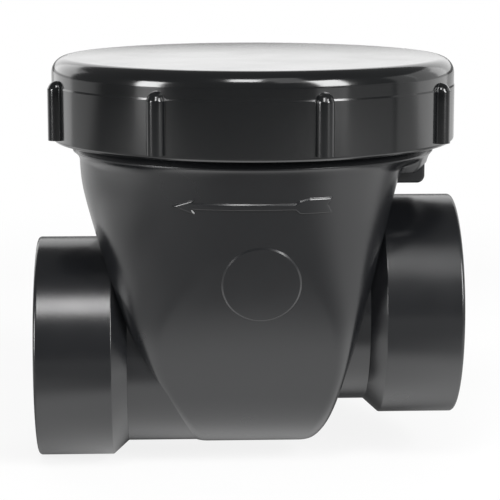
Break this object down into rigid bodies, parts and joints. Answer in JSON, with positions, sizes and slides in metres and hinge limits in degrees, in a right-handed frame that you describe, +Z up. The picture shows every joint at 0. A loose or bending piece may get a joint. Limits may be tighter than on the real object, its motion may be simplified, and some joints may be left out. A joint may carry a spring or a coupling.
{
  "type": "backwater valve",
  "caption": "Drain backwater valve: offset inlet and outlet pipe sockets, a tapering chamber under a ribbed screw cap, and a hinged flapper that shuts on a leaning seat.",
  "frame": {"origin": "centre of the outlet socket's mouth", "axes": "+X along the run from the outlet to the inlet, against the flow; +Z up to the screw cap; +Y across, away from the side with the flow arrow"},
  "size_m": [0.192, 0.1848, 0.1861],
  "materials": {
    "abs_black": "gloss moulded",
    "rubber": "matt",
    "steel": "turned"
  },
  "bodies": {
    "housing": {"chamber_body": "abs_black", "access_neck": "abs_black", "outlet_hub": "abs_black", "inlet_hub": "abs_black", "seat_ring": "abs_black", "hinge_bracket": "abs_black", "bracket_screws": "steel", "hinge_pin": "steel", "pin_clips": "steel"},
    "flapper": {"flapper": "abs_black", "flapper_seal": "rubber", "seal_retainer": "abs_black", "retainer_screws": "steel"},
    "gasket": {"cap_gasket": "rubber"},
    "cap": {"screw_cap": "abs_black"}
  },
  "joints": [
    {"name": "flapper_swing", "type": "hinge", "parent": "housing", "child": "flapper", "pos_m": [0.14118, 0, 0.07254], "axis": [0, 1, 0], "range_deg": [0, 70]},
    {"name": "cap_lift", "type": "slide", "parent": "housing", "child": "gasket", "axis": [0, 0, 1], "range_m": [0, 0.02]},
    {"name": "cap_turn", "type": "hinge", "parent": "gasket", "child": "cap", "pos_m": [0.0995, 0, 0.11], "axis": [0, 0, 1], "range_deg": [0, 1440]}
  ],
  "couplings": [
    {"joint": "cap_lift", "follows": "cap_turn", "m_per_rad": 0.00079577}
  ]
}
